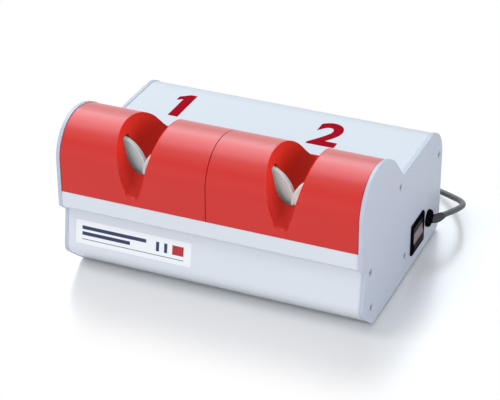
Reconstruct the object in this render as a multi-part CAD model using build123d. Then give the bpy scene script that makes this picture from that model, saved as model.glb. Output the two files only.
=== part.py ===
from build123d import *
import math
import os

# Electric knife sharpener with two stations, in millimetres. +Z is up, +X points to the switch
# end and +Y from the working front to the back. The origin is on the table, under the middle of
# the casing. Lengths called "..._y" are distances behind the front face of the hoods.

# Casing outline, seen from the end
end_room = 10.99
back_room = 62.0
crown_room = 15.0
crest_radius = 44.0
hood_back_radius = 85.0
hood_back_slope = 48.0
panel_drop = 53.0
rear_top_radius = 44.0
rear_foot_radius = 10.0
strip_width = 18.5
recess_slope = 11.5
recess_depth = 14.0
toe_setback = 6.0
toe_rise = 30.0
toe_reach = 36.0
toe_radius = 15.0
toe_foot_radius = 8.0
foot_height = 3.0

# Sheet metal and mouldings
plate_thickness = 4.0
plate_reveal = 0.8
sheet = 2.0
base_sheet = 2.0
bottom_flange = 28.0
hood_edge_drop = 27.0
strip_flange = 14.0
panel_lap = 13.0
hood_wall = 3.0
hood_web = 2.0
hood_web_rise = 4.5
hood_side_gap = 0.5
hood_seam_gap = 0.8
seat_gap = 0.2
rear_lip = 5.0
rear_lip_thickness = 2.0

# Knife notches
notch_wall = 2.0
notch_top_half = 24.3
notch_shoulder_half = 17.0
slot_front_y = 24.5
slot_width_y = 14.5
slot_half = 48.0
slot_top_gap = 1.0

# Notch heights, above the spindle axes (the mouth's floor: above the hoods' lower edge).
# A corner or bulge is (half width, height).
notch_shoulder_rise = 21.0
mouth_floor_rise = 7.0
mouth_corner = (8.6, 16.0)
mouth_bulge = (13.7, 5.0)
sill_floor_rise = 1.0
sill_corner = (7.5, 3.0)
sill_bulge = (14.0, 12.0)
groove_floor_rise = 4.6
groove_corner = (9.0, 6.0)
groove_bulge = (14.4, 13.0)
slot_bottom_drop = 12.0

# Wheels and spindles
wheel_radius = 40.0
front_wheel_step = 2.4
wheel_thickness = 5.5
wheel_chamfer = 0.5
wheel_recess = 0.6
wheel_rim_width = 2.8
wheel_gap = 1.0
wheel_clearance_y = 1.5
spindle_height = 140.0
spindle_radius = 4.0
running_clearance = 0.04
thread_radius = 3.0
thread_length = 6.5
collar_radius = 9.0
collar_thickness = 2.0
nut_across_flats = 10.0
nut_thickness = 4.0
washer_thickness = 1.2

# Gear train
gear_module = 1.0
gear_teeth = 76
pinion_teeth = 24
motor_gear_teeth = 26
pressure_angle = 20.0
tooth_backlash = 0.16
gear_width = 7.0
pinion_width = 8.0
gear_plate_gap = 12.5
gear_web_recess = 1.5

# Bearing plates
bearing_radius = 8.0
bearing_width = 5.0
plate_hood_gap = 3.0
plate_spacing = 24.0
bearing_plate_thickness = 8.0
bearing_plate_drop = 3.0
bearing_plate_inset = 8.0
lobe_radius = 9.4
plate_foot_thickness = 4.0
pillar_radius = 5.0
low_pillar_inset = 26.0
low_pillar_rise = 23.0
high_pillar_inset = 16.0
high_pillar_drop = 13.0
plate_foot_inset = 34.0
chassis_screw_radius = 2.0
chassis_screw_inset = 46.0
chassis_screw_pitch = 55.0

# Motor
motor_room = 62.0
motor_radius = 39.0
motor_shell = 4.0
motor_gap = 32.0
motor_cover = 10.0
motor_length = 100.0
stator_bore = 22.6
stator_end_gap = 12.0
rotor_radius = 22.2
rotor_end_gap = 14.0
motor_bearing_radius = 11.0
motor_bearing_width = 7.0
bracket_thickness = 4.0
bracket_half_width = 50.0
bracket_nose_bore = 14.0
fan_radius = 32.0
fan_hub_radius = 9.0
fan_width = 9.0
fan_gap = 3.0
fan_blades = 8
fan_blade_thickness = 1.6
motor_bolt_circle = 32.0
motor_bolt_radius = 2.0

# Tie rods between the end plates
rod_radius = 6.0
recess_rod_inset = 14.5
toe_rod_inset = 28.5
toe_rod_rise = 25.0
motor_rod_inset = 47.6
motor_rod_gap = 4.0
panel_rod_y = 121.0
panel_rod_gap = 1.5
back_rod_inset = 12.0
back_rod_drop = 38.0
rod_bore = 3.0
rod_bore_depth = 20.0
screw_head_radius = 4.2
screw_head_thickness = 2.6
screw_length = 16.0
screw_sink = 0.4
socket_radius = 1.7
socket_depth = 1.6

# Feet
foot_radius = 9.0
foot_inset_x = 18.0
foot_front_y = 58.0
foot_back_inset = 22.0
foot_screw_radius = 2.0

# Swarf trays
tray_half_length = 79.0
tray_front_y = 17.6
tray_height = 14.0
tray_wheel_gap = 3.8
tray_wall = 1.2

# Electrics
switch_inset = 85.0
switch_height = 38.0
bezel_size_y = 44.0
bezel_size_z = 40.0
bezel_depth = 2.5
bezel_rim = 5.0
bezel_corner = 3.0
switch_box_depth = 28.0
switch_box_wall = 2.0
rocker_clearance = 0.5
rocker_pivot_depth = 6.0
rocker_rise = 0.6
rocker_throw = 12.0
rocker_dish = 1.6
rocker_thickness = 4.0
gland_inset = 44.0
gland_height = 36.0
gland_flange_radius = 10.5
gland_flange_thickness = 4.0
gland_nose_radius = 5.2
gland_bend_radius = 9.0
gland_turn = 65.0
gland_tail = 7.0
gland_tip_radius = 4.2
gland_thread_radius = 7.0
gland_nut_radius = 10.0
gland_nut_thickness = 4.0
capacitor_radius = 15.0
capacitor_length = 62.0
capacitor_gap = 5.0
capacitor_shift = 3.0
strap_width = 10.0
strap_thickness = 1.2
terminal_inset_x = 36.0
terminal_inset_y = 48.0
terminal_size = (34.0, 18.0, 14.0)
lead_radius = 1.3

# Name plate place on the lower front
label_left = 14.0
label_length = 143.0
label_low_gap = 12.0
label_high_gap = 9.51
label_thickness = 0.5

# Mains cord: its points are (past the switch end's face, behind the back, height)
cord_radius = 3.5
cord_run = ((23.5, -11.0, 34.0), (26.0, 14.0, 27.5), (17.0, 38.0, 18.0), (-0.5, 59.0, 9.5),
            (-26.0, 76.5, 4.6), (-54.0, 87.0, 3.6), (-82.0, 90.0, 3.6))
coil_inset = 85.0
coil_behind = 53.0
coil_radius = 37.0
coil_width = 21.0
coil_height = 19.0
coil_edge = 6.0
plug_axis_height = 18.5
plug_tail_start = 24.5
plug_tail_length = 36.0
plug_tail_radius = 5.0
plug_grip_length = 18.0
plug_grip_radius = 12.0
plug_disc_length = 16.0
plug_disc_radius = 18.5
pin_radius = 2.4
pin_length = 19.0
pin_spacing = 19.0

# Worked out from the sizes above
slot_back_y = slot_front_y + slot_width_y
front_plate_y = slot_back_y + plate_hood_gap
rear_plate_y = front_plate_y + plate_spacing
plate_foot = plate_spacing - bearing_plate_thickness
gear_front_y = front_plate_y + gear_plate_gap
motor_front_y = rear_plate_y + motor_gap
motor_back_y = motor_front_y + motor_length
fan_end = motor_back_y + fan_gap + fan_width
depth = fan_end + back_room
front = -depth / 2
gear_radius = gear_module * gear_teeth / 2
pinion_radius = gear_module * pinion_teeth / 2
spindle_half_spacing = gear_radius
gear_height = spindle_height - gear_radius - pinion_radius
motor_gear_radius = gear_module * motor_gear_teeth / 2
crest_height = spindle_height + wheel_radius + crown_room
panel_height = crest_height - panel_drop
hood_edge_height = spindle_height - hood_edge_drop
strip_bottom = hood_edge_height - strip_width
recess_top = strip_bottom - recess_slope
motor_height = panel_height - motor_room
motor_drop = gear_height - motor_height
inner_gear_x = math.sqrt((gear_radius + motor_gear_radius) ** 2 - motor_drop ** 2)
station_offset = inner_gear_x + spindle_half_spacing
gear_row_half = station_offset + spindle_half_spacing + gear_radius + gear_module
inner_half = gear_row_half + end_room
length = 2 * (inner_half + plate_thickness)
turn = math.radians(hood_back_slope)
slope_start_y = crest_radius + hood_back_radius * math.sin(turn)
slope_start_height = crest_height - hood_back_radius * (1 - math.cos(turn))
valley_y = slope_start_y + (slope_start_height - panel_height) / math.tan(turn)
front_wheel_y = slot_front_y + wheel_clearance_y
rear_wheel_y = front_wheel_y + wheel_thickness + wheel_gap
base_top = foot_height + sheet + base_sheet
inner_top = crest_height + 20.0
bearing_plate_top = spindle_height - bearing_plate_drop
plate_foot_half = inner_half - plate_foot_inset
chassis_screw_half = inner_half - chassis_screw_inset
pillar_spots = [(side * (inner_half - inset), z) for side in (-1, 1) for inset, z in (
    (low_pillar_inset, base_top + low_pillar_rise),
    (high_pillar_inset, spindle_height - high_pillar_drop))]
chassis_screw_spots = [side * (chassis_screw_half - shift) for side in (-1, 1)
                       for shift in (0.0, chassis_screw_pitch)]
tray_bottom = spindle_height - wheel_radius - tray_wheel_gap - tray_height
rod_spots = (
    (recess_depth + recess_rod_inset, tray_bottom - seat_gap - rod_radius),
    (toe_setback + toe_rod_inset, foot_height + toe_rod_rise),
    (motor_front_y + motor_rod_inset, motor_height - motor_radius - motor_rod_gap - rod_radius),
    (panel_rod_y, panel_height - sheet - panel_rod_gap - rod_radius),
    (depth - back_rod_inset, panel_height - back_rod_drop),
)
foot_back_y = depth - foot_back_inset
switch_y = depth - switch_inset
gland_y = depth - gland_inset
capacitor_x = inner_half - switch_box_depth - capacitor_gap - capacitor_length / 2
capacitor_y = switch_y - capacitor_shift
terminal_x = inner_half - terminal_inset_x
terminal_y = depth - terminal_inset_y
coil_centre = (length / 2 - coil_inset, depth + coil_behind)
plug_tail_x = coil_centre[0] - plug_tail_start

os.makedirs("parts", exist_ok=True)


def save(node, shape):
    """Write one named piece to its own STEP file."""
    export_step(shape, "parts/" + node + ".step")


def group(solids):
    """Separate solids kept together in one piece."""
    return Compound(children=list(solids))


def at(y):
    """Y of a place that lies y behind the front face."""
    return front + y


def end_view(y, z):
    """A point of the end view as a point in the YZ sketch plane."""
    return (at(y), z)


def end_rectangle(y0, z0, y1, z1):
    """Rectangle in the end view between two corners."""
    return Pos((at(y0) + at(y1)) / 2, (z0 + z1) / 2) * Rectangle(y1 - y0, z1 - z0)


def along_x(sketch, x0, x1):
    """Carry an end-view sketch along X from x0 to x1."""
    return extrude(Plane.YZ.offset(x0) * sketch, x1 - x0)


def along_y(sketch, y0, y1):
    """Carry a front-view sketch backwards from y0 to y1."""
    return extrude(Plane.XZ.offset(-at(y1)) * sketch, y1 - y0)


def rod_x(radius, x0, x1, y, z):
    """Round bar along X."""
    return along_x(Pos(at(y), z) * Circle(radius), x0, x1)


def rod_y(radius, y0, y1, x, z):
    """Round bar along Y."""
    return along_y(Pos(x, z) * Circle(radius), y0, y1)


def block(x0, x1, y0, y1, z0, z1):
    """Rectangular block between two corners."""
    return Pos((x0 + x1) / 2, at((y0 + y1) / 2), (z0 + z1) / 2) * Box(x1 - x0, y1 - y0, z1 - z0)


# ---- Casing outline and skins -------------------------------------------------------------

def rounded(before, corner, after, radius):
    """Start, middle and end of the arc that rounds a corner between two straight edges."""
    corner = Vector(*corner)
    back = (Vector(*before) - corner).normalized()
    on = (Vector(*after) - corner).normalized()
    half = math.radians(back.get_angle(on)) / 2
    middle = (back + on).normalized() * (radius / math.sin(half) - radius)
    reach = radius / math.tan(half)
    return corner + back * reach, corner + middle, corner + on * reach


def skin_outline():
    """End view of the skins: slanted toe, recess, arched hood, valley, flat top, round back."""
    points = {
        "bottom": end_view(toe_setback + toe_reach, foot_height),
        "toe": end_view(toe_setback, foot_height + toe_rise),
        "recess": end_view(recess_depth, recess_top),
        "strip": end_view(0, strip_bottom),
        "spring": end_view(0, crest_height - crest_radius),
        "crest": end_view(crest_radius, crest_height),
        "slope": end_view(slope_start_y, slope_start_height),
        "valley": end_view(valley_y, panel_height),
        "panel": end_view(depth - rear_top_radius, panel_height),
        "back": end_view(depth, panel_height - rear_top_radius),
        "heel": end_view(depth, foot_height + rear_foot_radius),
        "heel_end": end_view(depth - rear_foot_radius, foot_height),
    }
    diagonal = math.sqrt(0.5)
    foot_arc = rounded(points["heel_end"], points["bottom"], points["toe"], toe_foot_radius)
    toe_arc = rounded(points["bottom"], points["toe"], points["recess"], toe_radius)
    crest_middle = end_view(crest_radius * (1 - diagonal),
                            crest_height - crest_radius * (1 - diagonal))
    slope_middle = end_view(crest_radius + hood_back_radius * math.sin(turn / 2),
                            crest_height - hood_back_radius * (1 - math.cos(turn / 2)))
    back_middle = end_view(depth - rear_top_radius * (1 - diagonal),
                           panel_height - rear_top_radius * (1 - diagonal))
    heel_middle = end_view(depth - rear_foot_radius * (1 - diagonal),
                           foot_height + rear_foot_radius * (1 - diagonal))
    edges = [
        ThreePointArc(*foot_arc),
        Line(foot_arc[2], toe_arc[0]),
        ThreePointArc(*toe_arc),
        Line(toe_arc[2], points["recess"]),
        Line(points["recess"], points["strip"]),
        Line(points["strip"], points["spring"]),
        ThreePointArc(points["spring"], crest_middle, points["crest"]),
        ThreePointArc(points["crest"], slope_middle, points["slope"]),
        Line(points["slope"], points["valley"]),
        Line(points["valley"], points["panel"]),
        ThreePointArc(points["panel"], back_middle, points["back"]),
        Line(points["back"], points["heel"]),
        ThreePointArc(points["heel"], heel_middle, points["heel_end"]),
        Line(points["heel_end"], foot_arc[0]),
    ]
    return make_face(Curve() + edges)


outline = skin_outline()
plate_outline = offset(outline, plate_reveal, kind=Kind.INTERSECTION)
sheet_ring = outline - offset(outline, -sheet, kind=Kind.INTERSECTION)
hood_ring = outline - offset(outline, -hood_wall, kind=Kind.INTERSECTION)


def front_panel():
    """Folded sheet: bottom flange, slanted toe, recessed front, strip and top flange."""
    reach = toe_setback + toe_reach + bottom_flange
    zone = end_rectangle(-1, foot_height - 1, reach, hood_edge_height)
    top_flange = end_rectangle(0, hood_edge_height - sheet, strip_flange, hood_edge_height)
    panel = along_x((sheet_ring & zone) + top_flange, -inner_half, inner_half)
    return panel - foot_holes()


def rear_cover():
    """Folded sheet: flat top that runs under the hoods, round back and bottom flange."""
    flange_y = depth - rear_foot_radius - bottom_flange
    zone = end_rectangle(valley_y, foot_height - 1, depth + 1, panel_height + 1)
    zone -= end_rectangle(valley_y - 1, foot_height - 2, flange_y, foot_height + 2 * sheet)
    lap = end_rectangle(valley_y - panel_lap, panel_height - sheet, valley_y + 1, panel_height)
    cover = along_x((sheet_ring & zone) + lap, -inner_half, inner_half)
    return cover - foot_holes()


def foot_holes():
    """Holes for the foot screws through everything that lies on the feet."""
    return [Pos(x, at(y), base_top) * Cylinder(foot_screw_radius, 6 * base_sheet)
            for x, y in foot_places()]


def base_plate():
    """Flat plate lying on both bottom flanges."""
    y0 = toe_setback + toe_reach + toe_foot_radius
    y1 = depth - rear_foot_radius - 1.0
    plate = block(-inner_half, inner_half, y0, y1, base_top - base_sheet, base_top)
    plate -= foot_holes()
    for x in chassis_screw_spots:
        for plate_y in (front_plate_y, rear_plate_y):
            y = plate_y + bearing_plate_thickness + plate_foot / 2
            plate -= Pos(x, at(y), base_top) * Cylinder(chassis_screw_radius, 4 * base_sheet)
    return plate


def foot_places():
    """Places of the four feet as (X, distance behind the front face)."""
    x = inner_half - foot_inset_x
    return [(sx * x, y) for sx in (-1, 1) for y in (foot_front_y, foot_back_y)]


def end_plate(side):
    """Thick end plate with sunk screws; side is -1 at the left and 1 at the switch end."""
    plate = along_x(plate_outline, inner_half, inner_half + plate_thickness)
    sink = screw_head_thickness + screw_sink
    for y, z in rod_spots:
        plate -= rod_x(rod_bore, inner_half - 1, length / 2 + 1, y, z)
        plate -= rod_x(screw_head_radius + 0.2, length / 2 - sink, length / 2 + 1, y, z)
    if side > 0:
        opening = Pos(at(switch_y), switch_height) * Rectangle(
            bezel_size_y - 2 * bezel_rim + 2 * switch_box_wall,
            bezel_size_z - 2 * bezel_rim + 2 * switch_box_wall)
        plate -= along_x(opening, inner_half - 1, length / 2 + 1)
        plate -= rod_x(gland_thread_radius, inner_half - 1, length / 2 + 1, gland_y, gland_height)
        return plate
    return mirror(plate, Plane.YZ)


def tie_rods():
    """Round spacer bars between the end plates, bored at both ends for their screws."""
    rods = []
    for y, z in rod_spots:
        rod = rod_x(rod_radius, -inner_half, inner_half, y, z)
        rod -= rod_x(rod_bore, inner_half - rod_bore_depth, inner_half, y, z)
        rod -= rod_x(rod_bore, -inner_half, rod_bore_depth - inner_half, y, z)
        rods.append(rod)
    return group(rods)


def end_plate_screws():
    """Socket screws, sunk into the end plates, one in each end of every tie rod."""
    screws = []
    outer = length / 2 - screw_sink
    for y, z in rod_spots:
        screw = rod_x(screw_head_radius, outer - screw_head_thickness, outer, y, z)
        screw += rod_x(rod_bore - 0.1, outer - screw_length, outer - screw_head_thickness, y, z)
        socket = Pos(at(y), z) * RegularPolygon(socket_radius, 6)
        screw -= along_x(socket, outer - socket_depth, outer + 1)
        screws += [screw, mirror(screw, Plane.YZ)]
    return group(screws)


def feet():
    """Rubber feet with a hole for the screw."""
    pads = []
    for x, y in foot_places():
        pad = Pos(x, at(y), foot_height / 2) * Cylinder(foot_radius, foot_height)
        pad = chamfer(pad.edges().group_by(Axis.Z)[0], 0.8)
        pad -= Pos(x, at(y), foot_height) * Cylinder(foot_screw_radius + 0.1, foot_height)
        pads.append(pad)
    return group(pads)


def foot_screws():
    """Screws that hold the feet to the base plate, with their heads inside."""
    screws = []
    shank = base_top - foot_height / 2
    for x, y in foot_places():
        screw = Pos(x, at(y), base_top - shank / 2) * Cylinder(foot_screw_radius - 0.1, shank)
        screw += Pos(x, at(y), base_top + 1.0) * Cylinder(2 * foot_screw_radius, 2.0)
        screws.append(screw)
    return screws


# ---- Hoods with their knife notches -------------------------------------------------------

def above(point, height):
    """A point whose second value is counted from a height."""
    return (point[0], height + point[1])


def notch_face(floor_height, corner, bulge, grow):
    """Cross-section of a notch: rounded floor, bulged lower side, straight leaning upper side."""
    shoulder_height = spindle_height + notch_shoulder_rise
    lean = (notch_top_half - notch_shoulder_half) / (crest_height - shoulder_height)
    top = (notch_top_half + lean * (inner_top - crest_height) + grow, inner_top)
    shoulder = (notch_shoulder_half + grow, shoulder_height)
    middle = (bulge[0] + 0.9 * grow, bulge[1] - 0.4 * grow)
    lower = (corner[0] + 0.7 * grow, corner[1] - 0.7 * grow)
    floor = (0.0, floor_height - grow)

    def left(point):
        return (-point[0], point[1])

    return make_face(Curve() + [
        ThreePointArc(left(lower), floor, lower),
        ThreePointArc(lower, middle, shoulder),
        Line(shoulder, top),
        Line(top, left(top)),
        Line(left(top), left(shoulder)),
        ThreePointArc(left(shoulder), left(middle), left(lower)),
    ])


def sill_face(grow):
    """Cross-section of a notch at the wheels."""
    return notch_face(spindle_height + sill_floor_rise, above(sill_corner, spindle_height),
                      above(sill_bulge, spindle_height), grow)


def notch_mouth(grow):
    """Front part of the notch, whose floor climbs from the hood's face to the wheels."""
    outer = notch_face(hood_edge_height + mouth_floor_rise, above(mouth_corner, hood_edge_height),
                       above(mouth_bulge, spindle_height), grow)
    sill = sill_face(grow)
    place = Pos(station_offset, 0)
    return loft([Plane.XZ.offset(-at(-1.0)) * place * outer,
                 Plane.XZ.offset(-at(slot_front_y)) * place * sill])


def notch_groove(grow):
    """Rear part of the notch: level groove from the wheels to the back of the hood."""
    face = notch_face(spindle_height + groove_floor_rise, above(groove_corner, spindle_height),
                      above(groove_bulge, spindle_height), grow)
    return along_y(Pos(station_offset, 0) * face, slot_back_y, valley_y + 2 * rear_lip)


def hood():
    """Moulded hood of the right station; the left one is its mirror image."""
    zone = end_rectangle(-1, hood_edge_height + seat_gap, recess_depth, inner_top)
    zone += end_rectangle(recess_depth, panel_height + seat_gap, valley_y + 1, inner_top)
    x0, x1 = hood_seam_gap / 2, inner_half - hood_side_gap
    lip = end_rectangle(valley_y - 2.0, panel_height + seat_gap, valley_y + rear_lip,
                        panel_height + seat_gap + rear_lip_thickness)
    shell = along_x((hood_ring & zone) + lip, x0, x1)
    ramp_zone = end_rectangle(0, hood_edge_height + seat_gap, slot_front_y, inner_top)
    filled = along_x(outline & (zone + ramp_zone), x0, x1)
    web_zone = end_rectangle(0, panel_height + hood_web_rise, valley_y, inner_top)
    web_face = outline & web_zone
    shell += along_x(web_face, x0, x0 + hood_web)
    shell += along_x(web_face, x1 - hood_web, x1)
    cheeks = along_y(Pos(station_offset, 0) * sill_face(notch_wall),
                     slot_front_y - 0.1, slot_back_y + 0.1)
    walls = (notch_mouth(notch_wall) + cheeks + notch_groove(notch_wall)) & filled
    shell = shell + walls
    shell -= notch_mouth(0)
    shell -= notch_groove(0)
    slot_top = spindle_height + wheel_radius + slot_top_gap
    shell -= block(station_offset - slot_half, station_offset + slot_half,
                   slot_front_y, slot_back_y, spindle_height - slot_bottom_drop, slot_top)
    shell -= along_y(Pos(station_offset, 0) * sill_face(0), slot_front_y - 0.1, slot_back_y + 0.1)
    return shell


# ---- Wheels, spindles and gears -----------------------------------------------------------

def gear_outline(teeth, phase):
    """Spur gear face with involute flanks and one tooth centred at the phase angle."""
    pitch = gear_module * teeth / 2
    base = pitch * math.cos(math.radians(pressure_angle))
    tip = pitch + 0.92 * gear_module
    root = pitch - 1.2 * gear_module
    involute = math.tan(math.radians(pressure_angle)) - math.radians(pressure_angle)
    half_tooth = math.pi / (2 * teeth) - tooth_backlash / (4 * pitch) + involute
    step = 2 * math.pi / teeth
    radii = [max(base, root) + (tip - max(base, root)) * share for share in (0.0, 0.3, 0.65, 1.0)]
    flank = []
    for r in radii:
        angle = math.acos(min(1.0, base / r))
        flank.append((r, half_tooth - (math.tan(angle) - angle)))
    points = []
    for tooth in range(teeth):
        middle = math.radians(phase) + tooth * step
        side = [(root, -half_tooth)] + [(r, -a) for r, a in flank]
        side += [(r, a) for r, a in reversed(flank)] + [(root, half_tooth)]
        points += [(r * math.cos(middle + a), r * math.sin(middle + a)) for r, a in side]
    return Polygon(*points, align=None)


def meshed_phase(teeth, phase, direction, next_teeth):
    """Phase of a gear that meshes with another gear, seen from it in the given direction."""
    share = (direction - phase) * teeth / 360
    return direction + 180 - (0.5 - share) * 360 / next_teeth


def train_phases():
    """Phases of the right station's gears, worked outwards from the motor's gear."""
    to_inner = math.degrees(math.atan2(motor_drop, inner_gear_x))
    inner = meshed_phase(motor_gear_teeth, 90.0, to_inner, gear_teeth)
    outer = meshed_phase(gear_teeth, inner, 0.0, gear_teeth)
    return {
        "inner_gear": inner,
        "outer_gear": outer,
        "inner_pinion": meshed_phase(gear_teeth, inner, 90.0, pinion_teeth),
        "outer_pinion": meshed_phase(gear_teeth, outer, 90.0, pinion_teeth),
    }


def grinding_wheel(x, y, radius=wheel_radius):
    """Disc wheel with chamfered edges, a slightly sunk face and a bore."""
    wheel = rod_y(radius, y, y + wheel_thickness, x, spindle_height)
    wheel = chamfer(wheel.edges().filter_by(GeomType.CIRCLE), wheel_chamfer)
    sunk = Pos(x, spindle_height) * (Circle(radius - wheel_rim_width) - Circle(collar_radius))
    wheel -= along_y(sunk, y, y + wheel_recess)
    return wheel - rod_y(spindle_radius, y - 1, y + wheel_thickness + 1, x, spindle_height)


def spindle(x, wheel_y, phase):
    """Spindle with thread, wheel seat, collar and a pinion cut in one piece with it."""
    seat = spindle_radius - running_clearance
    back = rear_plate_y + bearing_plate_thickness
    collar_y = wheel_y + wheel_thickness
    body = rod_y(thread_radius, wheel_y - thread_length, wheel_y, x, spindle_height)
    body += rod_y(seat, wheel_y, back, x, spindle_height)
    body += rod_y(collar_radius, collar_y, collar_y + collar_thickness, x, spindle_height)
    mid = gear_front_y + gear_width / 2
    teeth = Pos(x, spindle_height) * gear_outline(pinion_teeth, phase)
    return body + along_y(teeth, mid - pinion_width / 2, mid + pinion_width / 2)


def wheel_nut(x, wheel_y):
    """Flanged hexagon nut that clamps a wheel against its collar."""
    flats = Pos(x, spindle_height) * RegularPolygon(nut_across_flats / 2, 6, major_radius=False)
    nut = along_y(flats, wheel_y - washer_thickness - nut_thickness, wheel_y)
    nut += rod_y(collar_radius, wheel_y - washer_thickness, wheel_y, x, spindle_height)
    return nut - rod_y(thread_radius, wheel_y - 2 * nut_thickness, wheel_y + 1, x, spindle_height)


def geared_shaft(x, phase):
    """Gear and its shaft in one piece; the disc is thinner between hub and rim."""
    shaft = rod_y(spindle_radius - running_clearance, front_plate_y + 0.5,
                  rear_plate_y + bearing_plate_thickness - 0.5, x, gear_height)
    gear = along_y(Pos(x, gear_height) * gear_outline(gear_teeth, phase),
                   gear_front_y, gear_front_y + gear_width)
    dish = Pos(x, gear_height) * (Circle(gear_radius - 4.5) - Circle(spindle_radius + 4.0))
    gear -= along_y(dish, gear_front_y, gear_front_y + gear_web_recess)
    gear -= along_y(dish, gear_front_y + gear_width - gear_web_recess, gear_front_y + gear_width)
    return shaft + gear


def motor_gear():
    """Small gear on the front end of the motor shaft, between the two inner gears."""
    mid = gear_front_y + gear_width / 2
    body = along_y(Pos(0, motor_height) * gear_outline(motor_gear_teeth, 90.0),
                   mid - pinion_width / 2, mid + pinion_width / 2)
    bore = spindle_radius - running_clearance
    return body - rod_y(bore, mid - pinion_width, mid + pinion_width, 0, motor_height)


def ring_y(outer, inner, y, width, x, z):
    """Ring about an axis along Y."""
    return rod_y(outer, y, y + width, x, z) - rod_y(inner, y - 1, y + width + 1, x, z)


def spindle_places():
    """X of the spindles, from left to right."""
    return [side * station_offset + hand * spindle_half_spacing
            for side in (-1, 1) for hand in (-1, 1)]


def bearings(places, plates):
    """Bearings for shafts at places of (X, height), one in each of the bearing plates."""
    rings = []
    for x, z in places:
        for plate_y in plates:
            y = plate_y + (bearing_plate_thickness - bearing_width) / 2
            rings.append(ring_y(bearing_radius, spindle_radius, y, bearing_width, x, z))
    return rings


both_plates = (front_plate_y, rear_plate_y)
spindle_row = [(x, spindle_height) for x in spindle_places()]
gear_row = [(x, gear_height) for x in spindle_places()]
motor_place = [(0.0, motor_height)]


def bearing_plate(plate_y, places):
    """Upright plate with a lobe round every spindle, bored for bearings, on a bent foot."""
    half = inner_half - bearing_plate_inset
    face = Pos(0, (base_top + bearing_plate_top) / 2) * Rectangle(
        2 * half, bearing_plate_top - base_top)
    for x in spindle_places():
        stem = spindle_height - bearing_plate_top
        face += Pos(x, bearing_plate_top + stem / 2) * Rectangle(2 * lobe_radius, stem)
        face += Pos(x, spindle_height) * Circle(lobe_radius)
    for x, z in places:
        face -= Pos(x, z) * Circle(bearing_radius)
    back = plate_y + bearing_plate_thickness
    plate = along_y(face, plate_y, back)
    plate += block(-plate_foot_half, plate_foot_half, back, back + plate_foot,
                   base_top, base_top + plate_foot_thickness)
    for x in chassis_screw_spots:
        hole = Pos(x, at(back + plate_foot / 2), base_top + plate_foot_thickness)
        plate -= hole * Cylinder(chassis_screw_radius, 4 * plate_foot_thickness)
    return plate


def chassis_screws():
    """Screws that hold the feet of both bearing plates to the base plate."""
    screws = []
    top = base_top + plate_foot_thickness
    for x in chassis_screw_spots:
        for plate_y in (front_plate_y, rear_plate_y):
            y = at(plate_y + bearing_plate_thickness + plate_foot / 2)
            shank = plate_foot_thickness + base_sheet
            screw = Pos(x, y, top - shank / 2) * Cylinder(chassis_screw_radius - 0.1, shank)
            screws.append(screw + Pos(x, y, top + 1.0) * Cylinder(2 * chassis_screw_radius, 2.0))
    return screws


def plate_pillars():
    """Spacers that hold the two bearing plates apart."""
    y0 = front_plate_y + bearing_plate_thickness
    return group(rod_y(pillar_radius, y0, rear_plate_y, x, z) for x, z in pillar_spots)


# ---- Motor ----------------------------------------------------------------------------------

def motor_ring(outer, inner, y, width):
    """Ring on the motor's axis."""
    return ring_y(outer, inner, y, width, 0, motor_height)


def motor_shell_body():
    """Round motor shell with shallow cooling grooves."""
    width = motor_length - 2 * motor_cover
    shell = motor_ring(motor_radius, motor_radius - motor_shell, motor_front_y + motor_cover, width)
    for groove in range(5):
        y = motor_front_y + motor_cover + width * (groove + 1) / 6
        shell -= motor_ring(motor_radius + 1, motor_radius - 1.2, y - 2.0, 4.0)
    return shell


def motor_end_cover(y, seat_y):
    """Motor end cover with its bearing seat and four bolt holes."""
    cover = rod_y(motor_radius, y, y + motor_cover, 0, motor_height)
    cover -= rod_y(motor_bearing_radius, seat_y, seat_y + motor_bearing_width, 0, motor_height)
    cover -= rod_y(spindle_radius + 1.0, y - 1, y + motor_cover + 1, 0, motor_height)
    for x, z in motor_bolt_places():
        cover -= rod_y(motor_bolt_radius, y - 1, y + motor_cover + 1, x, z)
    return cover


def motor_bolt_places():
    """Places of the four bolts round the motor's axis."""
    reach = motor_bolt_circle * math.sqrt(0.5)
    return [(sx * reach, motor_height + sz * reach) for sx in (-1, 1) for sz in (-1, 1)]


def motor_bolts():
    """Short screws through the bracket into the front cover."""
    bolts = []
    for x, z in motor_bolt_places():
        head_y = motor_front_y - bracket_thickness
        bolt = rod_y(2 * motor_bolt_radius, head_y - 2.0, head_y, x, z)
        bolt += rod_y(motor_bolt_radius - 0.1, head_y, motor_front_y + 0.8 * motor_cover, x, z)
        bolts.append(bolt)
    return group(bolts)


def motor_bracket():
    """Bent bracket: upright plate with the nose bore and bolt holes, and a foot on the base."""
    y0 = motor_front_y - bracket_thickness
    top = motor_height + motor_radius
    plate = block(-bracket_half_width, bracket_half_width, y0, motor_front_y, base_top, top)
    plate += block(-bracket_half_width, bracket_half_width, y0, motor_front_y + motor_length / 3,
                   base_top, base_top + bracket_thickness)
    plate -= rod_y(bracket_nose_bore, y0 - 1, motor_front_y + 1, 0, motor_height)
    for x, z in motor_bolt_places():
        plate -= rod_y(motor_bolt_radius, y0 - 1, motor_front_y + 1, x, z)
    return plate


def motor_rotor():
    """Rotor core on the shaft that carries the small gear in front and the fan behind."""
    shaft = spindle_radius - running_clearance
    y0 = motor_front_y + motor_cover + rotor_end_gap
    y1 = motor_back_y - motor_cover - rotor_end_gap
    rotor = rod_y(shaft, gear_front_y - 1.0, fan_end, 0, motor_height)
    return rotor + rod_y(rotor_radius, y0, y1, 0, motor_height)


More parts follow.
